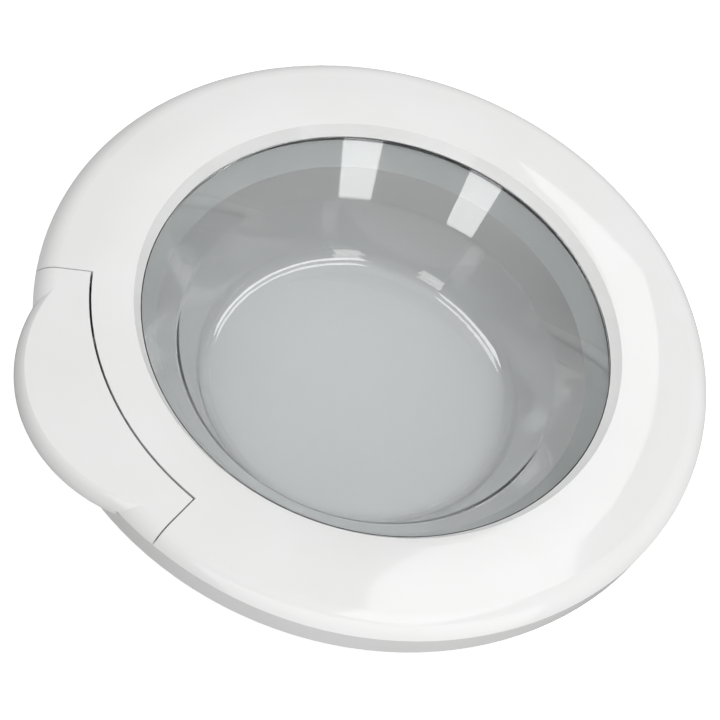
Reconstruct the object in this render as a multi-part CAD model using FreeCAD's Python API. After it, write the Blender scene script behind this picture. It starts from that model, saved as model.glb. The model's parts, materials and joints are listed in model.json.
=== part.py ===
import FreeCAD, Part
import math
import os
from FreeCAD import Vector

# Washing machine door, lying on the base of its glass bowl with the front face up.
# The door's axis is Z. The handle is at -X and the hinge at +X, and +Y is up on the machine.
# Millimetres. Heights are above the plane that the bowl rests on.

# Outer ring: the white front moulding
ring_d = 450.0
ring_wall = 3.0
ring_depth = 25.9
ring_width = 66.0
lip_width = 4.8
lip_drop = 8.5
lip_wall = 2.8
lip_gap = 1.0
crown_rise = 4.1
crown_width = 32.0
shoulder_width = 13.7
shoulder_radius = 16.9
clamp_rib_wall = 2.4
clamp_rib_offset = 8.0

# Glass bowl
bowl_height = 90.5
glass_wall = 5.5
floor_thick = 8.0
flange_width = 13.0
flange_thick = 5.5
mouth_inset = 0.6
knee_inset = 27.0
knee_height = 53.0
knee_radius = 30.0
wall_draft = 25.0
floor_radius = 10.0

# Inner ring: the rear moulding that clamps the glass
inner_wall = 2.5
rim_recess = 1.0
rim_height = 6.0
rim_clearance = 0.3
rim_width = 8.7
step_width = 3.0
step_depth = 11.2
collar_gap = 1.5

# Screws that hold the two rings together
screw_count = 8
screw_inset = 44.0
screw_shank_d = 4.0
screw_head_d = 8.4
screw_head_height = 2.8
screw_length = 16.0
screw_clearance = 0.05
screw_hole_spare = 1.0
screw_hole_d = 4.6
boss_d = 9.2
cup_d = 15.0
cup_bore_d = 11.0
cup_depth = 12.0

# Handle: a sector of the face with a pulling lug
handle_angle = 52.5
handle_gap_inset = 34.5
handle_gap = 1.4
handle_end_gap = 1.0
handle_wall = 2.8
handle_seam = 0.5
lug_reach = 18.0
lug_share = 0.471
lug_round = 10.5
lug_crease = 22.0
lug_height = 10.6
pocket_flange_depth = 14.0
pocket_flange_wall = 2.5

# Handle pivot and the tail that pushes the hook
pivot_inset = 5.0
pivot_depth = 6.8
pin_d = 4.0
pin_running_clearance = 0.05
pin_seat_clearance = 0.02
knuckle_radius = 4.0
knuckle_width = 7.0
knuckle_spacing = 65.5
tail_width = 9.0
tail_radius = 2.2
tail_reach = 10.8
ear_radius = 3.6
ear_width = 5.0
ear_gap = 0.5
ear_root_height = 6.4

# Latch hook
hook_pivot_inset = 3.5
hook_pivot_height = 6.3
hook_width = 12.0
hook_hub_radius = 5.5
hook_hub_side = 0.6
hook_arm = 5.0
hook_arm_gap = 0.3
hook_arm_top = 3.5
hook_shank = 6.5
hook_reach = 36.0
hook_nose = 9.5
hook_nose_height = 9.0
hook_nose_end = 3.6
hook_web_height = 7.7
slot_side_gap = 0.3
slot_end_gap = 1.5
latch_ear_width = 3.0
latch_ear_radius = 5.0
latch_pin_overhang = 1.5

# Torsion spring on the latch pin
spring_wire_d = 1.2
spring_coil_radius = 3.0
spring_gap = 0.4
spring_seat_gap = 0.1
spring_pitch = 2.0
spring_turns = 2
spring_leg = 12.0
peg_radius = 1.4
peg_length = 3.4

# Hinge: leaf on the door, bracket for the cabinet
leaf_thick = 3.0
leaf_height = 103.2
leaf_width = 34.0
leaf_inset = 19.0
leaf_corner = 6.0
hinge_inset = 6.0
hinge_drop = 2.0
leaf_barrel_radius = 5.0
arm_width = 14.0
hinge_pin_d = 6.0
bracket_barrel_radius = 7.0
bracket_knuckle_width = 13.0
bush_wall = 1.55
bush_flange_radius = 6.2
bush_flange_thick = 1.2
hinge_side_gap = 0.4
bracket_thick = 3.0
bracket_offset = 10.5
bracket_length = 48.0
bracket_height = 100.0
bracket_corner = 8.0
bracket_rest_angle = 90.0
bolt_hole_d = 5.5
bolt_spacing_up = 76.0
bolt_spacing_across = 20.0
bolt_first = 20.0
backplate_thick = 3.0
backplate_margin = 6.0
leaf_screw_spacing_up = 72.0
leaf_screw_spacing_across = 18.0
leaf_screw_d = 5.0
leaf_screw_hole_d = 5.5
leaf_screw_head_d = 9.0
leaf_screw_head_height = 3.0
leaf_screw_tip = 1.0

# A run of an outline shorter than this is left out
no_length = 0.000001

# Radii and heights that follow from the sizes above
ring_r = ring_d / 2
lip_r = ring_r - ring_width
lip_top_r = lip_r + lip_width
flat_start_r = lip_top_r + crown_width
flat_end_r = ring_r - shoulder_width
lip_z = bowl_height + lip_gap
lip_top_z = lip_z + lip_drop
face_z = lip_top_z + crown_rise
rear_z = face_z - ring_depth
crown_radius = (crown_width ** 2 + crown_rise ** 2) / (2 * crown_rise)
crown_centre = (flat_start_r, face_z - crown_radius)
shoulder_centre = (flat_end_r, face_z - shoulder_radius)
shoulder_turn = math.degrees(math.asin(shoulder_width / shoulder_radius))
shoulder_z = face_z - shoulder_radius * (1 - math.cos(math.radians(shoulder_turn)))
flange_r = lip_r + flange_width
flange_z = bowl_height - flange_thick
mouth_r = lip_r - mouth_inset
knee_r = lip_r - knee_inset
cone_slope = (mouth_r - knee_r) / (bowl_height - knee_height)
wall_slope = math.tan(math.radians(wall_draft))
rim_z = rear_z + rim_recess
rim_r = ring_r - ring_wall - rim_clearance
plateau_z = rim_z - step_depth
plateau_top = plateau_z + inner_wall
step_r = rim_r - rim_width
plateau_r = step_r - step_width
cup_floor = plateau_z + cup_depth
cup_top = cup_floor + inner_wall
screw_r = ring_r - screw_inset

handle_gap_r = ring_r - handle_gap_inset
handle_inner_r = handle_gap_r + handle_gap / 2
pocket_r = handle_gap_r - handle_gap / 2
end_gap_angle = math.degrees(handle_end_gap / ring_r)
handle_half = (handle_angle - end_gap_angle) / 2
pocket_half = (handle_angle + end_gap_angle) / 2
lug_radius = lug_share * ring_r
lug_centre = ring_r + lug_reach - lug_radius
pivot_x = -(handle_gap_r + pivot_inset)
pivot_z = face_z - pivot_depth
pin_r = pin_d / 2
knuckle_outer_y = (knuckle_spacing + knuckle_width) / 2
ear_y = knuckle_outer_y + ear_gap
handle_pin_half = ear_y + ear_width + ear_gap
tail_z = pivot_z - tail_reach

hook_x = pivot_x + hook_pivot_inset
hook_z = plateau_z + hook_pivot_height
arm_face_x = pivot_x - tail_radius - hook_arm_gap
hub_half = hook_width / 2 + hook_hub_side
slot_half = hub_half + slot_side_gap
spring_r = spring_wire_d / 2
spring_start_y = slot_half + spring_r
hook_tip_z = hook_z - hook_reach

hinge_x = ring_r - hinge_inset
hinge_z = plateau_z + hinge_drop
leaf_outer_x = ring_r - leaf_inset
leaf_inner_x = leaf_outer_x - leaf_width
leaf_z = plateau_z - leaf_thick
arm_outer_y = leaf_height / 2
arm_inner_y = arm_outer_y - arm_width
bush_outer_y = arm_inner_y - hinge_side_gap
knuckle_end_y = bush_outer_y - bush_flange_thick
knuckle_start_y = knuckle_end_y - bracket_knuckle_width
hinge_pin_r = hinge_pin_d / 2
bush_bore_r = hinge_pin_r + pin_running_clearance
bush_r = bush_bore_r + bush_wall
leaf_screw_x = (leaf_inner_x + leaf_outer_x) / 2


def at(r, z, y=0.0):
    return Vector(r, y, z)


def bend(centre, radius, start, end):
    """Middle and end of an arc about centre, between two angles from straight up."""
    def spot(angle):
        turn = math.radians(angle)
        return (centre[0] + radius * math.sin(turn), centre[1] + radius * math.cos(turn))
    return (spot((start + end) / 2), spot(end))


def outline(*steps):
    """Closed face in the XZ plane: a step is a corner, or the middle and end of an arc."""
    edges = []
    here = steps[0]
    for step in steps[1:] + steps[:1]:
        if isinstance(step[0], tuple):
            middle, end = step
            edges.append(Part.Arc(at(*here), at(*middle), at(*end)).toShape())
            here = end
        elif math.dist(here, step) > no_length:
            edges.append(Part.makeLine(at(*here), at(*step)))
            here = step
    return Part.Face(Part.Wire(edges))


def lathe(face, x=0.0):
    return face.revolve(Vector(x, 0, 0), Vector(0, 0, 1), 360)


def plate(face, y_from, y_to):
    """Extrusion along Y of an outline in the XZ plane."""
    solid = face.extrude(Vector(0, y_to - y_from, 0))
    solid.translate(Vector(0, y_from, 0))
    return solid


def rod(radius, x, z, y_from, y_to):
    return Part.makeCylinder(radius, y_to - y_from, Vector(x, y_from, z), Vector(0, 1, 0))


def post(radius, x, y, z_from, z_to):
    return Part.makeCylinder(radius, z_to - z_from, Vector(x, y, z_from))


def block(x_from, x_to, y_from, y_to, z_from, z_to):
    return Part.makeBox(x_to - x_from, y_to - y_from, z_to - z_from, Vector(x_from, y_from, z_from))


def slab(x_from, x_to, height, z_from, z_to, corner):
    """Flat plate about Y = 0 with rounded upright corners."""
    solid = block(x_from, x_to, -height / 2, height / 2, z_from, z_to)
    upright = [e for e in solid.Edges if abs(e.tangentAt(e.FirstParameter).z) > 0.9]
    return solid.makeFillet(corner, upright)


def wedge(half_angle, r_from, r_to, z_from, z_to):
    """Sector of a ring, centred on the handle's side."""
    height = z_to - z_from
    whole = Part.makeCylinder(r_to, height, Vector(0, 0, z_from), Vector(0, 0, 1), 2 * half_angle)
    whole.rotate(Vector(0, 0, 0), Vector(0, 0, 1), 180 - half_angle)
    return whole.cut(Part.makeCylinder(r_from, height, Vector(0, 0, z_from)))


def joined(first, *others):
    return first.multiFuse(list(others)).removeSplitter()


def around(count, radius):
    """Places of a ring of screws, none of them in line with the handle or the hinge."""
    for index in range(count):
        angle = 2 * math.pi * (index + 0.5) / count
        yield (radius * math.cos(angle), radius * math.sin(angle))


def crown_turn(inset):
    """Angle at which the crowned face, set in by a wall, meets the top of the lip."""
    return -math.degrees(math.asin((crown_width - inset) / (crown_radius - inset)))


def shoulder_end(inset):
    """Angle at which the shoulder, set in by a wall, meets the side."""
    return math.degrees(math.asin(min(1.0, (shoulder_width - inset) / (shoulder_radius - inset))))


def under_face(inset, base_z):
    """Solid below the ring's front surface, set in by a wall, from the lip to the side."""
    start = bend(crown_centre, crown_radius - inset, 0, crown_turn(inset))[1]
    return lathe(outline(
        (start[0], base_z),
        start,
        bend(crown_centre, crown_radius - inset, crown_turn(inset), 0),
        (flat_end_r, face_z - inset),
        bend(shoulder_centre, shoulder_radius - inset, 0, shoulder_end(inset)),
        (ring_r - inset, base_z)))


def outer_ring():
    inside = ring_wall
    section = outline(
        (lip_r, lip_z),
        (lip_top_r, lip_top_z),
        bend(crown_centre, crown_radius, crown_turn(0), 0),
        (flat_end_r, face_z),
        bend(shoulder_centre, shoulder_radius, 0, shoulder_turn),
        (ring_r, rear_z),
        (ring_r - inside, rear_z),
        bend(shoulder_centre, shoulder_radius - inside, shoulder_end(inside), shoulder_end(inside))[1],
        bend(shoulder_centre, shoulder_radius - inside, shoulder_end(inside), 0),
        (flat_start_r, face_z - inside),
        bend(crown_centre, crown_radius - inside, 0, crown_turn(inside)),
        (lip_r + lip_wall, lip_z))
    shell = lathe(section)
    rib_r = lip_r + clamp_rib_offset
    under = face_z - ring_wall / 2
    body = under_face(0, rear_z)
    rib = Part.makeCylinder(rib_r + clamp_rib_wall, under - bowl_height, at(0, bowl_height))
    rib = rib.cut(Part.makeCylinder(rib_r, under - bowl_height, at(0, bowl_height))).common(body)
    bosses = [post(boss_d / 2, x, y, cup_top, under).common(body) for x, y in around(screw_count, screw_r)]
    pocket = wedge(pocket_half, pocket_r, ring_r + lug_reach, shoulder_z - handle_seam, face_z + lug_reach)
    flange_turn = math.degrees(pocket_flange_wall / pocket_r)
    flange_z_from = face_z - pocket_flange_depth
    flange = wedge(pocket_half + flange_turn, pocket_r - pocket_flange_wall, ring_r, flange_z_from, under)
    opening = wedge(pocket_half, pocket_r, ring_r + lug_reach, rear_z, face_z + lug_reach)
    flange = flange.cut(opening).common(body)
    ring = joined(shell.cut(pocket), rib, flange, *bosses)
    ring = joined(ring, *[pivot_ear(side) for side in (-1, 1)])
    hole_r = screw_shank_d / 2 + screw_clearance
    hole_z = cup_floor + screw_length + screw_hole_spare
    screw_holes = [post(hole_r, x, y, cup_top, hole_z) for x, y in around(screw_count, screw_r)]
    return ring.cut(Part.makeCompound(screw_holes))


def pivot_ear(side):
    """Ear on the pocket's flange that holds one end of the handle's pin."""
    y_from, y_to = sorted((side * ear_y, side * (ear_y + ear_width)))
    root_x = -math.sqrt((pocket_r - pocket_flange_wall / 2) ** 2 - (ear_y + ear_width) ** 2)
    foot_z = face_z - pocket_flange_depth
    web = outline(
        (root_x, foot_z),
        (root_x, foot_z + ear_root_height),
        (pivot_x, pivot_z + ear_radius),
        (pivot_x, pivot_z - ear_radius))
    ear = joined(plate(web, y_from, y_to), rod(ear_radius, pivot_x, pivot_z, y_from, y_to))
    return ear.cut(rod(pin_r + pin_seat_clearance, pivot_x, pivot_z, y_from, y_to))


def cone_r(z, away):
    """Radius of the bowl's upper cone at a height, some way outside its inner face."""
    return knee_r + (z - knee_height) * cone_slope + away * math.hypot(1, cone_slope)


def wall_r(z, away):
    """Radius of the bowl's lower wall at a height, some way outside its inner face."""
    return knee_r + (z - knee_height) * wall_slope + away * math.hypot(1, wall_slope)


def glass_bowl():
    turn_in = math.hypot(1, wall_slope) - math.hypot(1, cone_slope)
    outer_knee_z = knee_height + glass_wall * turn_in / (cone_slope - wall_slope)
    mouth = (mouth_r, bowl_height)
    knee = (knee_r, knee_height)
    foot = (wall_r(floor_thick, 0), floor_thick)
    centre = (0.0, floor_thick)
    neck = (cone_r(flange_z, glass_wall), flange_z)
    outer_knee = (wall_r(outer_knee_z, glass_wall), outer_knee_z)
    outer_foot = (wall_r(0, glass_wall), 0.0)
    base = (0.0, 0.0)
    return lathe(outline(
        mouth,
        (flange_r, bowl_height),
        (flange_r, flange_z),
        neck,
        *rounded(neck, outer_knee, outer_foot, knee_radius - glass_wall),
        *rounded(outer_knee, outer_foot, base, floor_radius + glass_wall),
        base,
        centre,
        *rounded(centre, foot, knee, floor_radius),
        *rounded(foot, knee, mouth, knee_radius)))


def rounded(before, corner, after, radius):
    """Steps of an outline round one corner: the start of its arc, then the arc's middle and end."""
    def towards(target):
        length = math.hypot(target[0] - corner[0], target[1] - corner[1])
        return ((target[0] - corner[0]) / length, (target[1] - corner[1]) / length)
    a = towards(before)
    b = towards(after)
    half = math.acos(a[0] * b[0] + a[1] * b[1]) / 2
    tangent = radius / math.tan(half)
    middle = radius / math.sin(half) - radius
    inward = math.hypot(a[0] + b[0], a[1] + b[1])
    return [
        (corner[0] + a[0] * tangent, corner[1] + a[1] * tangent),
        ((corner[0] + (a[0] + b[0]) / inward * middle, corner[1] + (a[1] + b[1]) / inward * middle),
         (corner[0] + b[0] * tangent, corner[1] + b[1] * tangent))]


def inner_ring():
    collar_in = glass_wall + collar_gap
    collar_out = collar_in + inner_wall
    section = outline(
        (rim_r, rim_z),
        (rim_r, rim_z + rim_height),
        (rim_r - inner_wall, rim_z + rim_height),
        (rim_r - inner_wall, rim_z + inner_wall),
        (step_r - inner_wall / 2, rim_z + inner_wall),
        (plateau_r - inner_wall / 2, plateau_top),
        (cone_r(plateau_top, collar_out), plateau_top),
        (cone_r(flange_z, collar_out), flange_z),
        (cone_r(flange_z, collar_in), flange_z),
        (cone_r(plateau_z, collar_in), plateau_z),
        (plateau_r, plateau_z),
        (step_r, rim_z))
    cups = [post(cup_d / 2, x, y, plateau_z, cup_top) for x, y in around(screw_count, screw_r)]
    ears = [latch_ear(y) for y in latch_ears()]
    ring = joined(lathe(section), *cups, *ears)
    wells = [post(cup_bore_d / 2, x, y, plateau_z, cup_floor) for x, y in around(screw_count, screw_r)]
    holes = [post(screw_hole_d / 2, x, y, cup_floor, cup_top) for x, y in around(screw_count, screw_r)]
    nose_x = hook_x - hook_shank / 2 - hook_nose
    slot = block(nose_x - slot_end_gap, hook_x + hook_hub_radius + slot_end_gap, -slot_half, slot_half,
                 plateau_z, plateau_top)
    hinge_holes = [post(leaf_screw_hole_d / 2, x, y, plateau_z, plateau_top) for x, y in leaf_screws()]
    return ring.cut(Part.makeCompound(wells + holes + hinge_holes + [slot]))


def latch_ears():
    """Where the two ears of the latch pin start along Y: close to the hook, and past the spring."""
    coil = spring_pitch * spring_turns + spring_wire_d
    return (-slot_half - latch_ear_width, slot_half + coil + spring_gap)


def latch_ear(y_from):
    y_to = y_from + latch_ear_width
    foot = block(hook_x - latch_ear_radius, hook_x + latch_ear_radius, y_from, y_to, plateau_z, hook_z)
    ear = joined(foot, rod(latch_ear_radius, hook_x, hook_z, y_from, y_to))
    return ear.cut(rod(pin_r + pin_seat_clearance, hook_x, hook_z, y_from, y_to))


def pan_screw(x, y, seat_z, shank_d, length, head_d, head_height):
    """Pan-head screw driven upwards, its head below the seat."""
    head = lathe(outline(
        (0, seat_z),
        (head_d / 2, seat_z),
        (head_d / 2, seat_z - head_height / 2),
        (head_d / 2 - head_height / 2, seat_z - head_height),
        (0, seat_z - head_height)))
    head.translate(Vector(x, y, 0))
    return joined(head, post(shank_d / 2, x, y, seat_z, seat_z + length))


def frame_screws():
    return Part.makeCompound([
        pan_screw(x, y, cup_floor, screw_shank_d, screw_length, screw_head_d, screw_head_height)
        for x, y in around(screw_count, screw_r)])


def lug(inset, base_z):
    """Pulling lug whose rounded edge leaves the flat face at a crease, set in by a wall."""
    edge = lug_round - inset
    edge_drop = lug_round * math.cos(math.radians(lug_crease))
    edge_centre = (lug_radius - lug_round - lug_centre, face_z - edge_drop)
    crease = math.degrees(math.acos((edge_drop - inset) / edge))
    return lathe(outline(
        (-lug_centre, base_z),
        (edge_centre[0] + edge, base_z),
        (edge_centre[0] + edge, edge_centre[1]),
        bend(edge_centre, edge, 90, crease),
        (-lug_centre, face_z - inset)), x=-lug_centre)


def handle():
    tall = face_z + lug_reach
    rim_base = face_z - lug_height
    reach_r = ring_r + 2 * lug_reach
    sector = wedge(handle_half, handle_inner_r, reach_r, rear_z, tall)
    tongue = wedge(handle_half, flat_start_r, reach_r, rear_z, tall)
    over_ring = Part.makeCylinder(ring_r + handle_seam, shoulder_z - rear_z, at(0, rear_z))
    skin = joined(under_face(0, shoulder_z).common(sector), lug(0, rim_base).common(tongue).cut(over_ring))
    end_wall = math.degrees(handle_wall / flat_end_r)
    hollow_sector = wedge(handle_half - end_wall, handle_inner_r - handle_gap, reach_r, rear_z, tall)
    hollow_tongue = wedge(handle_half - end_wall, flat_start_r, reach_r, rear_z, tall)
    hollow = under_face(handle_wall, rear_z).common(hollow_sector)
    hollow = joined(hollow, lug(handle_wall, rear_z).common(hollow_tongue))
    shell = skin.cut(hollow)
    knuckles = [knuckle(side * knuckle_spacing / 2, knuckle_width) for side in (-1, 1)]
    knuckles.append(joined(knuckle(0, tail_width), tail()))
    bore = rod(pin_r + pin_running_clearance, pivot_x, pivot_z, -knuckle_outer_y, knuckle_outer_y)
    return joined(shell, *[eye.cut(bore) for eye in knuckles])


def knuckle(y, width):
    """Eye under the handle's face that turns on the pin."""
    eye = rod(knuckle_radius, pivot_x, pivot_z, y - width / 2, y + width / 2)
    web = block(pivot_x - knuckle_radius, pivot_x + knuckle_radius, y - width / 2, y + width / 2,
                pivot_z, face_z - handle_wall / 2)
    return joined(eye, web.common(under_face(0, rear_z)))


def tail():
    """Arm below the pin that pushes the hook when the lug is pulled."""
    half = tail_width / 2
    arm = block(pivot_x - tail_radius, pivot_x + tail_radius, -half, half, tail_z, pivot_z)
    return joined(arm, rod(tail_radius, pivot_x, tail_z, -half, half))


def handle_pin():
    return rod(pin_r, pivot_x, pivot_z, -handle_pin_half, handle_pin_half)


def latch_hook():
    half = hook_width / 2
    arm_top = tail_z + hook_arm_top
    left = hook_x - hook_shank / 2
    right = hook_x + hook_shank / 2
    nose_x = left - hook_nose
    arm = outline(
        (arm_face_x, arm_top),
        (arm_face_x - hook_arm, arm_top),
        (arm_face_x - hook_arm, hook_z + hook_hub_radius),
        (left, hook_z - hook_hub_radius),
        (left, hook_tip_z + hook_nose_height),
        (nose_x, hook_tip_z + hook_nose_height),
        (nose_x, hook_tip_z + hook_nose_height - hook_nose_end),
        (left, hook_tip_z),
        (right, hook_tip_z),
        (right, hook_z),
        (hook_x, hook_z + hook_hub_radius),
        (arm_face_x, hook_z + hook_web_height))
    peg_x, peg_z = peg_centre()
    hook = joined(
        plate(arm, -half, half),
        rod(hook_hub_radius, hook_x, hook_z, -hub_half, hub_half),
        rod(peg_radius, peg_x, peg_z, 0, half + peg_length))
    return hook.cut(rod(pin_r + pin_running_clearance, hook_x, hook_z, -hub_half, hub_half))


def peg_centre():
    """Peg on the hook's upper arm, where the spring's leg pushes."""
    return (arm_face_x - hook_arm / 2, hook_z + hook_web_height)


def latch_pin():
    first, last = latch_ears()
    y_to = last + latch_ear_width + latch_pin_overhang
    return rod(pin_r, hook_x, hook_z, first - latch_pin_overhang, y_to)


def latch_spring():
    """Torsion spring: a leg on the hook's peg, coils round the pin and a leg on the inner ring."""
    peg_x, peg_z = peg_centre()
    reach = peg_radius + spring_r + spring_seat_gap
    away = math.hypot(peg_x - hook_x, peg_z - hook_z)
    bearing = math.atan2(peg_z - hook_z, peg_x - hook_x)
    leg_angle = math.degrees(bearing + math.asin((spring_coil_radius + reach) / away))
    half_turns = [(180, spring_pitch / 2)] * (2 * spring_turns)
    angle = leg_angle - 90
    y = spring_start_y
    start, heading = wire_spot(angle, y)
    wire = [Part.makeCylinder(spring_r, spring_leg, start, -heading)]
    for turn, rise in [(leg_angle / 2, 0)] + half_turns + [(leg_angle / 2, 0)]:
        start, heading = wire_spot(angle, y)
        centre = Vector(hook_x, y + rise / 2, hook_z)
        section = Part.Face(Part.Wire(Part.makeCircle(spring_r, start, heading)))
        wire.append(section.revolve(centre, (start - centre).cross(heading), turn))
        angle -= turn
        y += rise
    end, heading = wire_spot(angle, y)
    wire.append(Part.makeCylinder(spring_r, spring_leg, end, heading))
    return joined(*wire)


def wire_spot(angle, y):
    """Place and direction of the spring's wire, at an angle round the latch pin."""
    turn = math.radians(angle)
    away = Vector(math.cos(turn), 0, math.sin(turn)) * spring_coil_radius
    return Vector(hook_x, y, hook_z) + away, Vector(math.sin(turn), 0, -math.cos(turn))


def leaf_screws():
    for x in (leaf_screw_x - leaf_screw_spacing_across / 2, leaf_screw_x + leaf_screw_spacing_across / 2):
        for y in (-leaf_screw_spacing_up / 2, leaf_screw_spacing_up / 2):
            yield (x, y)


def sides(y_from, y_to):
    """The same stretch of the hinge's axis below and above its middle."""
    return ((-y_to, -y_from), (y_from, y_to))


def hinge_leaf():
    sheet = slab(leaf_inner_x, leaf_outer_x, leaf_height, leaf_z, plateau_z, leaf_corner)
    pieces = []
    for y_from, y_to in sides(arm_inner_y, arm_outer_y):
        pieces.append(block(leaf_outer_x - arm_width, hinge_x, y_from, y_to, leaf_z, plateau_z))
        pieces.append(rod(leaf_barrel_radius, hinge_x, hinge_z, y_from, y_to))
    leaf = joined(sheet, *pieces)
    holes = [post(leaf_screw_hole_d / 2, x, y, leaf_z, plateau_z) for x, y in leaf_screws()]
    holes.append(rod(hinge_pin_r + pin_seat_clearance, hinge_x, hinge_z, -arm_outer_y, arm_outer_y))
    return leaf.cut(Part.makeCompound(holes))


def hinge_backplate():
    across = leaf_screw_spacing_across / 2 + backplate_margin
    top = plateau_top + backplate_thick
    height = leaf_screw_spacing_up + 2 * backplate_margin
    sheet = slab(leaf_screw_x - across, leaf_screw_x + across, height, plateau_top, top, leaf_corner)
    holes = [post(leaf_screw_d / 2 + screw_clearance, x, y, plateau_top, top) for x, y in leaf_screws()]
    return sheet.cut(Part.makeCompound(holes))


def hinge_screws():
    length = leaf_thick + inner_wall + backplate_thick + leaf_screw_tip
    return Part.makeCompound([
        pan_screw(x, y, leaf_z, leaf_screw_d, length, leaf_screw_head_d, leaf_screw_head_height)
        for x, y in leaf_screws()])


def hinge_pin(y_from, y_to):
    return rod(hinge_pin_r, hinge_x, hinge_z, y_from, y_to)


def hinge_bush(outer_y, inner_y):
    """Flanged bush in a knuckle of the bracket: the flange starts at outer_y, the sleeve ends at inner_y."""
    way = math.copysign(bush_flange_thick, inner_y - outer_y)
    flange = rod(bush_flange_radius, hinge_x, hinge_z, *sorted((outer_y, outer_y + way)))
    sleeve = rod(bush_r, hinge_x, hinge_z, *sorted((outer_y, inner_y)))
    bore = rod(bush_bore_r, hinge_x, hinge_z, *sorted((outer_y, inner_y)))
    return joined(flange, sleeve).cut(bore)


def hinge_bracket():
    """Cabinet side of the hinge, drawn folded flat behind the door, then let down to hang."""
    plate_top = hinge_z - bracket_offset
    plate_bottom = plate_top - bracket_thick
    near_x = hinge_x - bracket_barrel_radius
    sheet = slab(hinge_x - bracket_length, near_x, bracket_height, plate_bottom, plate_top, bracket_corner)
    neck = outline(
        (hinge_x, hinge_z),
        (hinge_x, hinge_z - bracket_barrel_radius),
        (near_x, plate_bottom),
        (near_x - bracket_barrel_radius, plate_bottom),
        (near_x - bracket_barrel_radius, plate_top),
        (near_x, hinge_z - bracket_thick))
    pieces = []
    for y_from, y_to in sides(knuckle_start_y, knuckle_end_y):
        pieces.append(plate(neck, y_from, y_to))
        pieces.append(rod(bracket_barrel_radius, hinge_x, hinge_z, y_from, y_to))
    bracket = joined(sheet, *pieces)
    holes = [rod(bush_r + pin_seat_clearance, hinge_x, hinge_z, -knuckle_end_y, knuckle_end_y)]
    for x in (hinge_x - bolt_first, hinge_x - bolt_first - bolt_spacing_across):
        for y in (-bolt_spacing_up / 2, bolt_spacing_up / 2):
            holes.append(post(bolt_hole_d / 2, x, y, plate_bottom, plate_top))
    bracket = bracket.cut(Part.makeCompound(holes))
    bracket.rotate(at(hinge_x, hinge_z), Vector(0, 1, 0), -bracket_rest_angle)
    return bracket


def door():
    """Every piece of the door by its name."""
    knuckle_middle_y = (knuckle_start_y + knuckle_end_y) / 2
    bush_inner_y = knuckle_start_y - bush_flange_thick
    pin_start_y = bush_inner_y - hinge_side_gap
    pieces = {
        "outer_ring": outer_ring(),
        "inner_ring": inner_ring(),
        "glass_bowl": glass_bowl(),
        "frame_screws": frame_screws(),
        "handle": handle(),
        "handle_pin": handle_pin(),
        "latch_hook": latch_hook(),
        "latch_pin": latch_pin(),
        "latch_spring": latch_spring(),
        "hinge_leaf": hinge_leaf(),
        "hinge_backplate": hinge_backplate(),
        "hinge_screws": hinge_screws(),
        "hinge_bracket": hinge_bracket()}
    for name, way in (("upper", 1), ("lower", -1)):
        ends = sorted((way * pin_start_y, way * arm_outer_y))
        pieces["hinge_pin_" + name] = hinge_pin(*ends)
        pieces["hinge_bush_" + name + "_outer"] = hinge_bush(way * bush_outer_y, way * knuckle_middle_y)
        pieces["hinge_bush_" + name + "_inner"] = hinge_bush(way * bush_inner_y, way * knuckle_middle_y)
    return pieces


os.makedirs("parts", exist_ok=True)
for name, shape in door().items():
    shape.exportStep("parts/" + name + ".step")
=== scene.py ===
import json
import math

import bpy
from mathutils import Matrix, Quaternion, Vector


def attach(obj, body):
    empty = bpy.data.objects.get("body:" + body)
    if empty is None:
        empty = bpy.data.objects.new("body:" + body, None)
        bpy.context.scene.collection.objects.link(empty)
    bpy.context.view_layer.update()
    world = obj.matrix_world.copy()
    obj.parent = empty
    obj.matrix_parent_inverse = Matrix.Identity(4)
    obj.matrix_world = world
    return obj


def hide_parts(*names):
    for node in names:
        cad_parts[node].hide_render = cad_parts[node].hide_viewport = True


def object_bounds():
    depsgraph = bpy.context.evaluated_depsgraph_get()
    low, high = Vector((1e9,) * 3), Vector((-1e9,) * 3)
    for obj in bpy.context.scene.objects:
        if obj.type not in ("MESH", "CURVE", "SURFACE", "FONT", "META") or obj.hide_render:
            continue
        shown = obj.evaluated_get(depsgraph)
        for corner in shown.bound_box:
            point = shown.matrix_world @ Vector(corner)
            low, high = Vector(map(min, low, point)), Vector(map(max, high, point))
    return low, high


# Washing machine door lying on the base of its glass bowl
# Sizes and places are in millimetres and directions in degrees, as in the part's source
MM = 0.001

# Camera of the photograph, in the door's frame
CAMERA_EYE = (-336.9, -343.1, 729.0)
CAMERA_AIM = (-34.75, -29.95, 100.0)
CAMERA_ROLL = 20.83
CAMERA_LENS = 60.0
CAMERA_SENSOR = 36.0

# Glass bowl: the part's section, with a closer fit under the lip and a softer turn into the floor
GLASS_WALL = 5.5
FLOOR_THICK = 8.0
BOWL_HEIGHT = 91.1
MOUTH_R = 158.4
FLANGE_R = 172.0
KNEE = (132.0, 53.0)
KNEE_RADIUS = 30.0
WALL_DRAFT = 25.0
FLOOR_RADIUS = 16.0
GLASS_EDGE = 0.8
LATHE_STEPS = 288
ARC_STEP = 2.0

# Lamps that face the door's middle: azimuth from +X, elevation, distance, width, height, radiance and roll
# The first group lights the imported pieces, and the second is what the glass mirrors
DOOR_LAMPS = {
    "far_panel": (40, 58, 1400, 560, 890, 2.6, 20),
    "camera_bounce": (-108, 33, 1600, 2400, 1500, 1.3, 0),
}
GLASS_LAMPS = {
    "right_strip": (-25, 57, 1500, 270, 1930, 9.0, 43),
    "back_strip": (134, 58, 1500, 280, 1200, 8.5, 0),
    "window_left": (-97.5, 28, 1600, 440, 900, 5.3, 0),
    "window_right": (-155, 30, 1600, 400, 900, 5.2, 0),
}

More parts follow.
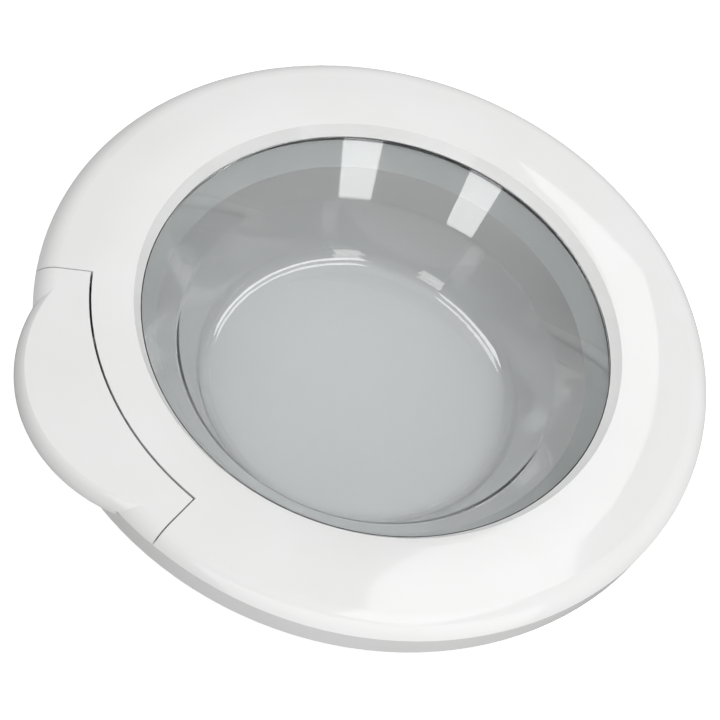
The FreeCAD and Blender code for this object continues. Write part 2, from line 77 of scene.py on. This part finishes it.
# Lamps close to the door: middle, azimuth and elevation of the back, width, height, radiance and roll
# The white ring mirrors the strip, and the other stands for light that the bowl throws back onto the lip
GLOSS_STRIP = ((138, -118, 571), (-3.8, 60), 197, 800, 2.0, 51.9)
BOWL_RETURN = ((0, 0, 86), (155, 0), 120, 30, 7.5, 0)

# Room light: its level, and how much it gains towards +X, +Y and the zenith
ROOM_LIGHT = 0.26
ROOM_GAIN = (0.17, -0.03, 0.5)

# Table just under the bowl, and how much light of its own it shows to the camera, to mirrors and to glass
TABLE_SIZE = 8000.0
TABLE_GAP = 0.3
TABLE_GLOW = {"Is Camera Ray": 0.8, "Is Glossy Ray": 0.04, "Is Transmission Ray": 0.01}

# Part of a noise's range that its values really fill
NOISE_LOW = 0.3
NOISE_HIGH = 0.7

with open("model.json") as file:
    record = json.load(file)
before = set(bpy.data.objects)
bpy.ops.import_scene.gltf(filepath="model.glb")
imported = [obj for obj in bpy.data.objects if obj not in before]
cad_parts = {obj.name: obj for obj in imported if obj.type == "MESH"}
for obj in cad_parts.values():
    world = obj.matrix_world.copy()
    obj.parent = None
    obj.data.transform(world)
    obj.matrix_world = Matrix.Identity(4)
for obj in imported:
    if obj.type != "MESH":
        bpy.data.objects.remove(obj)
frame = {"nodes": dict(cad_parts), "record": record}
cad_low, cad_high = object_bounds()
scene = bpy.context.scene


def linear(hex_colour):
    """sRGB hex colour as linear RGBA."""
    levels = [int(hex_colour[i:i + 2], 16) / 255 for i in (1, 3, 5)]
    return tuple(v / 12.92 if v <= 0.04045 else ((v + 0.055) / 1.055) ** 2.4 for v in levels) + (1.0,)


def shade(tree, kind, settings=None, links=None):
    """Adds one shader node: settings are its sockets or properties by name, links are what feeds a socket."""
    node = tree.nodes.new(kind)
    for name, value in (settings or {}).items():
        if isinstance(name, int) or name in node.inputs:
            node.inputs[name].default_value = value
        else:
            setattr(node, name, value)
    for name, source in (links or {}).items():
        tree.links.new(source, node.inputs[name])
    return node


def new_material(name):
    """Empty material, its node tree and its output node."""
    material = bpy.data.materials.new(name)
    material.use_nodes = True
    tree = material.node_tree
    tree.nodes.clear()
    return material, tree, tree.nodes.new("ShaderNodeOutputMaterial")


def grain(tree, size_mm, detail=2.0, stretch=(1, 1, 1)):
    """Noise over the object's own millimetres, with features of about size_mm."""
    place = shade(tree, "ShaderNodeTexCoord")
    scale = shade(tree, "ShaderNodeMapping", {"Scale": stretch}, {"Vector": place.outputs["Object"]})
    return shade(tree, "ShaderNodeTexNoise", {"Scale": 1 / (size_mm * MM), "Detail": detail},
                 {"Vector": scale.outputs["Vector"]}).outputs["Fac"]


def skin(name, values, colours, broad_grain, roughness, fine_grain, relief_mm=0.0):
    """Opaque finish: a broad grain moves the colour between two, and a fine one the roughness and relief.
    A grain is its size in millimetres, and then its detail and its stretch where they matter."""
    material, tree, output = new_material(name)
    tint = shade(tree, "ShaderNodeValToRGB", links={"Fac": grain(tree, *broad_grain)})
    for stop, position, colour in zip(tint.color_ramp.elements, (NOISE_LOW, NOISE_HIGH), colours):
        stop.position = position
        stop.color = linear(colour)
    fine = grain(tree, *fine_grain)
    rough = shade(tree, "ShaderNodeMapRange", {
        "From Min": NOISE_LOW, "From Max": NOISE_HIGH,
        "To Min": roughness[0], "To Max": roughness[1]}, {"Value": fine})
    surface = shade(tree, "ShaderNodeBsdfPrincipled", values, {
        "Base Color": tint.outputs["Color"], "Roughness": rough.outputs["Result"]})
    if relief_mm:
        bump = shade(tree, "ShaderNodeBump", {"Strength": 1.0, "Distance": relief_mm * MM}, {"Height": fine})
        tree.links.new(bump.outputs["Normal"], surface.inputs["Normal"])
    tree.links.new(surface.outputs["BSDF"], output.inputs["Surface"])
    return material


def white_abs():
    """Moulded ABS of the front: clean white gloss, with the faint ripple that a polished mould leaves."""
    return skin("moulded ABS, glossy white", {"IOR": 1.53},
                colours=("#EBEBEA", "#EEEEEE"), broad_grain=(60.0,),
                roughness=(0.06, 0.1), fine_grain=(14.0,), relief_mm=0.006)


def pressed_glass():
    """Pressed soda-lime glass: clear, faintly green, with the slow waviness of a pressed surface."""
    material, tree, output = new_material("pressed soda-lime glass")
    rough = shade(tree, "ShaderNodeMapRange", {
        "From Min": NOISE_LOW, "From Max": NOISE_HIGH, "To Min": 0.0, "To Max": 0.012},
        {"Value": grain(tree, 8.0)})
    wave = shade(tree, "ShaderNodeBump", {"Strength": 1.0, "Distance": 0.02 * MM},
                 {"Height": grain(tree, 35.0, 1.0)})
    glass = shade(tree, "ShaderNodeBsdfPrincipled", {
        "Base Color": linear("#F3F5F5"), "Transmission Weight": 1.0, "IOR": 1.52},
        {"Roughness": rough.outputs["Result"], "Normal": wave.outputs["Normal"]})
    tree.links.new(glass.outputs["BSDF"], output.inputs["Surface"])
    return material


def rear_polypropylene():
    """Moulded polypropylene of the rear ring: pale satin grey, its eroded grain drawn coarse to show."""
    return skin("moulded polypropylene, satin grey", {"IOR": 1.49},
                colours=("#C9CBCA", "#CECFCE"), broad_grain=(40.0,),
                roughness=(0.4, 0.52), fine_grain=(0.6,), relief_mm=0.015)


def plated_steel():
    """Zinc-plated steel: bright grey with a slight blue and yellow bloom."""
    return skin("zinc-plated steel", {"Metallic": 1.0},
                colours=("#C6CBD2", "#D2D0C6"), broad_grain=(3.0,),
                roughness=(0.24, 0.38), fine_grain=(0.8,))


def drawn_steel():
    """Drawn steel wire and rod: fine lines along the hinge's direction."""
    lines = (0.5, 2.0, (1, 0.05, 1))
    return skin("drawn steel", {"Metallic": 1.0},
                colours=("#B9BCBF", "#C6C8CA"), broad_grain=lines,
                roughness=(0.18, 0.32), fine_grain=lines)


def cast_zinc():
    """Die-cast zinc alloy as cast: dull grey with flow marks and a fine sandy skin, drawn coarse to show."""
    return skin("die-cast zinc alloy", {"Metallic": 1.0},
                colours=("#A6A9AC", "#B4B6B8"), broad_grain=(9.0, 3.0),
                roughness=(0.4, 0.55), fine_grain=(0.9, 4.0), relief_mm=0.03)


def acetal():
    """Natural acetal of the bushes: milky and slightly waxy."""
    cloud = (4.0,)
    return skin("moulded acetal, natural", {"IOR": 1.48},
                colours=("#E6E3DA", "#EDEAE2"), broad_grain=cloud,
                roughness=(0.3, 0.4), fine_grain=cloud)


def arc_points(before, corner, after, radius):
    """Points and outward normals round one corner of a section, from tangent to tangent."""
    back = (Vector(before) - Vector(corner)).normalized()
    ahead = (Vector(after) - Vector(corner)).normalized()
    half = back.angle(ahead) / 2
    centre = Vector(corner) + (back + ahead).normalized() * (radius / math.sin(half))
    first = Vector(corner) + back * (radius / math.tan(half)) - centre
    turn = math.pi - 2 * half
    way = 1 if first.y * back.x - first.x * back.y > 0 else -1
    steps = max(2, round(math.degrees(turn) / ARC_STEP))
    for step in range(steps + 1):
        spoke = Matrix.Rotation(way * turn * step / steps, 2) @ first
        yield centre + spoke, spoke.normalized() * way


def section_points(corners):
    """Points and normals of a section of (r, z, rounding) corners, walked anticlockwise.
    The two ends on the axis have no rounding."""
    line = []
    for index, (r, z, radius) in enumerate(corners):
        here = (r, z)
        before = corners[index - 1][:2]
        after = corners[(index + 1) % len(corners)][:2]
        if radius:
            line.extend(arc_points(before, here, after, radius))
        else:
            run = Vector(after) - Vector(here) if index == 0 else Vector(here) - Vector(before)
            line.append((Vector(here), Vector((run.y, -run.x)).normalized()))
    return line


def lathe(name, corners, body, material):
    """Fine turned piece with exact smooth normals, from a section that starts and ends on the axis."""
    verts = []
    normals = []
    rows = []
    for point, normal in section_points(corners):
        row = []
        steps = 1 if point.x == 0 else LATHE_STEPS
        for step in range(steps):
            angle = 2 * math.pi * step / LATHE_STEPS
            row.append(len(verts))
            verts.append((point.x * math.cos(angle) * MM, point.x * math.sin(angle) * MM, point.y * MM))
            normals.append((normal.x * math.cos(angle), normal.x * math.sin(angle), normal.y))
        rows.append(row)
    faces = []
    for low, high in zip(rows, rows[1:]):
        for step in range(LATHE_STEPS):
            ring = [low[step % len(low)], low[(step + 1) % len(low)],
                    high[(step + 1) % len(high)], high[step % len(high)]]
            faces.append(list(dict.fromkeys(ring)))
    mesh = bpy.data.meshes.new(name)
    mesh.from_pydata(verts, [], faces)
    mesh.materials.append(material)
    mesh.shade_smooth()
    mesh.normals_split_custom_set_from_vertices(normals)
    piece = bpy.data.objects.new(name, mesh)
    scene.collection.objects.link(piece)
    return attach(piece, body)


def glass_bowl(material):
    """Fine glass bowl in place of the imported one."""
    knee_r, knee_z = KNEE
    slope = (MOUTH_R - knee_r) / (BOWL_HEIGHT - knee_z)
    draft = math.tan(math.radians(WALL_DRAFT))
    lean = math.hypot(1, slope)
    steep = math.hypot(1, draft)
    foot_r = knee_r - (knee_z - FLOOR_THICK) * draft
    outer_knee_z = knee_z + GLASS_WALL * (steep - lean) / (slope - draft)
    outer_knee_r = knee_r + GLASS_WALL * steep + (outer_knee_z - knee_z) * draft
    outer_foot_r = knee_r + GLASS_WALL * steep - knee_z * draft
    neck_z = BOWL_HEIGHT - GLASS_WALL
    neck_r = outer_knee_r + (neck_z - outer_knee_z) * slope
    piece = lathe("pressed_glass_bowl", [
        (0, 0, 0),
        (outer_foot_r, 0, FLOOR_RADIUS + GLASS_WALL),
        (outer_knee_r, outer_knee_z, KNEE_RADIUS - GLASS_WALL),
        (neck_r, neck_z, GLASS_EDGE),
        (FLANGE_R, neck_z, GLASS_EDGE),
        (FLANGE_R, BOWL_HEIGHT, GLASS_EDGE),
        (MOUTH_R, BOWL_HEIGHT, GLASS_EDGE),
        (knee_r, knee_z, KNEE_RADIUS),
        (foot_r, FLOOR_THICK, FLOOR_RADIUS),
        (0, FLOOR_THICK, 0)], "frame", material)
    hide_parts("glass_bowl")
    return piece


def clothe(finishes):
    """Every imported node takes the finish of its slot."""
    for subpart in frame["record"]["subparts"]:
        node = frame["nodes"][subpart["node"]]
        node.data.materials.clear()
        node.data.materials.append(finishes[subpart["material_slot"]])


def white_table():
    """Matt white table: it takes the door's shadow, and glows so that the open table is plain white."""
    material, tree, output = new_material("white table")
    path = shade(tree, "ShaderNodeLightPath")
    glow = None
    for ray, strength in TABLE_GLOW.items():
        share = shade(tree, "ShaderNodeMath", {"operation": "MULTIPLY_ADD", 1: strength, 2: 0.0},
                      {0: path.outputs[ray]})
        if glow:
            tree.links.new(glow.outputs[0], share.inputs[2])
        glow = share
    matt = shade(tree, "ShaderNodeBsdfDiffuse", {"Color": linear("#D6D6D6")})
    white = shade(tree, "ShaderNodeEmission", {"Color": linear("#FFFFFF")}, {"Strength": glow.outputs[0]})
    both = shade(tree, "ShaderNodeAddShader", links={0: matt.outputs[0], 1: white.outputs[0]})
    tree.links.new(both.outputs[0], output.inputs["Surface"])
    bpy.ops.mesh.primitive_plane_add(size=TABLE_SIZE * MM, location=(0, 0, -TABLE_GAP * MM))
    table = bpy.context.object
    table.name = "table"
    table.data.materials.append(material)


def towards(azimuth, elevation):
    """Unit vector of a direction."""
    flat = math.cos(math.radians(elevation))
    return Vector((flat * math.cos(math.radians(azimuth)), flat * math.sin(math.radians(azimuth)),
                   math.sin(math.radians(elevation))))


def room():
    """White room, brighter overhead and on the hinge side.
    It is plain white where the camera sees it, also through glass, and dimmer as a light and in mirrors."""
    world = bpy.data.worlds.new("white room")
    scene.world = world
    world.use_nodes = True
    tree = world.node_tree
    tree.nodes.clear()
    path = shade(tree, "ShaderNodeLightPath")
    looked = shade(tree, "ShaderNodeMath", {"operation": "MAXIMUM"},
                   {0: path.outputs["Is Camera Ray"], 1: path.outputs["Is Transmission Ray"]})
    # Direct means that the ray has met no matt surface yet
    direct = shade(tree, "ShaderNodeMath", {"operation": "LESS_THAN", 1: 0.5},
                   {0: path.outputs["Diffuse Depth"]})
    seen = shade(tree, "ShaderNodeMath", {"operation": "MULTIPLY"},
                 {0: looked.outputs[0], 1: direct.outputs[0]})
    place = shade(tree, "ShaderNodeTexCoord")
    gain = shade(tree, "ShaderNodeVectorMath", {"operation": "DOT_PRODUCT", 1: ROOM_GAIN},
                 {0: place.outputs["Generated"]})
    level = shade(tree, "ShaderNodeMath", {"operation": "ADD", 1: ROOM_LIGHT, "use_clamp": True},
                  {0: gain.outputs["Value"]})
    light = shade(tree, "ShaderNodeBackground", {"Color": linear("#FFFFFF")},
                  {"Strength": level.outputs[0]})
    white = shade(tree, "ShaderNodeBackground", {"Color": linear("#FFFFFF"), "Strength": 1.0})
    mix = shade(tree, "ShaderNodeMixShader", links={
        0: seen.outputs[0], 1: light.outputs[0], 2: white.outputs[0]})
    output = shade(tree, "ShaderNodeOutputWorld", links={"Surface": mix.outputs[0]})
    output.is_active_output = True


def lit_group(name, pieces):
    """Pieces that a set of lamps lights."""
    group = bpy.data.collections.new(name)
    for piece in pieces:
        group.objects.link(piece)
    return group


def lamp(name, place, back, width, height, radiance, roll, lit):
    """Area lamp that lights one group of pieces and is not in the picture itself."""
    light = bpy.data.lights.new(name, "AREA")
    light.shape = "RECTANGLE"
    light.size = width * MM
    light.size_y = height * MM
    light.energy = radiance * math.pi * light.size * light.size_y
    holder = bpy.data.objects.new(name, light)
    turn = back.to_track_quat("Z", "Y") @ Quaternion((0, 0, 1), math.radians(roll))
    holder.location = place
    holder.rotation_euler = turn.to_euler()
    holder.light_linking.receiver_collection = lit
    holder.visible_camera = False
    scene.collection.objects.link(holder)
    return holder


def far_lamps(kinds, lit):
    """Lamps round the door that face its middle."""
    middle = (cad_low + cad_high) / 2
    holders = {}
    for name, (azimuth, elevation, distance, *rest) in kinds.items():
        back = towards(azimuth, elevation)
        holders[name] = lamp(name, middle + back * distance * MM, back, *rest, lit)
    return holders


def near_lamp(name, settings, lit):
    """Lamp close to the door, with its own place and facing."""
    place, back, *rest = settings
    return lamp(name, Vector(place) * MM, towards(*back), *rest, lit)


def photo_camera():
    """Camera with the photograph's place, aim, roll and lens."""
    data = bpy.data.cameras.new("camera")
    data.lens = CAMERA_LENS
    data.sensor_width = CAMERA_SENSOR
    eye = Vector(CAMERA_EYE) * MM
    back = (eye - Vector(CAMERA_AIM) * MM).normalized()
    turn = back.to_track_quat("Z", "Y").to_matrix().to_4x4()
    roll = Matrix.Rotation(math.radians(CAMERA_ROLL), 4, "Z")
    view = bpy.data.objects.new("camera", data)
    view.matrix_world = Matrix.Translation(eye) @ turn @ roll
    scene.collection.objects.link(view)
    scene.camera = view


finishes = {
    "white_gloss": white_abs(),
    "rear_plastic": rear_polypropylene(),
    "glass": pressed_glass(),
    "zinc_steel": plated_steel(),
    "bright_steel": drawn_steel(),
    "die_cast": cast_zinc(),
    "bush_plastic": acetal(),
}
clothe(finishes)
bowl = glass_bowl(finishes["glass"])
white_table()
room()

# The far panel and the bowl's return only light matt colour, and the strip is only seen as a reflection
door = lit_group("door", frame["nodes"].values())
lip = lit_group("lip", [frame["nodes"]["outer_ring"]])
far_lamps(DOOR_LAMPS, door)["far_panel"].visible_glossy = False
near_lamp("gloss_strip", GLOSS_STRIP, door).visible_diffuse = False
near_lamp("bowl_return", BOWL_RETURN, lip).visible_glossy = False
far_lamps(GLASS_LAMPS, lit_group("glass", [bowl]))
photo_camera()
scene.view_settings.view_transform = "Standard"
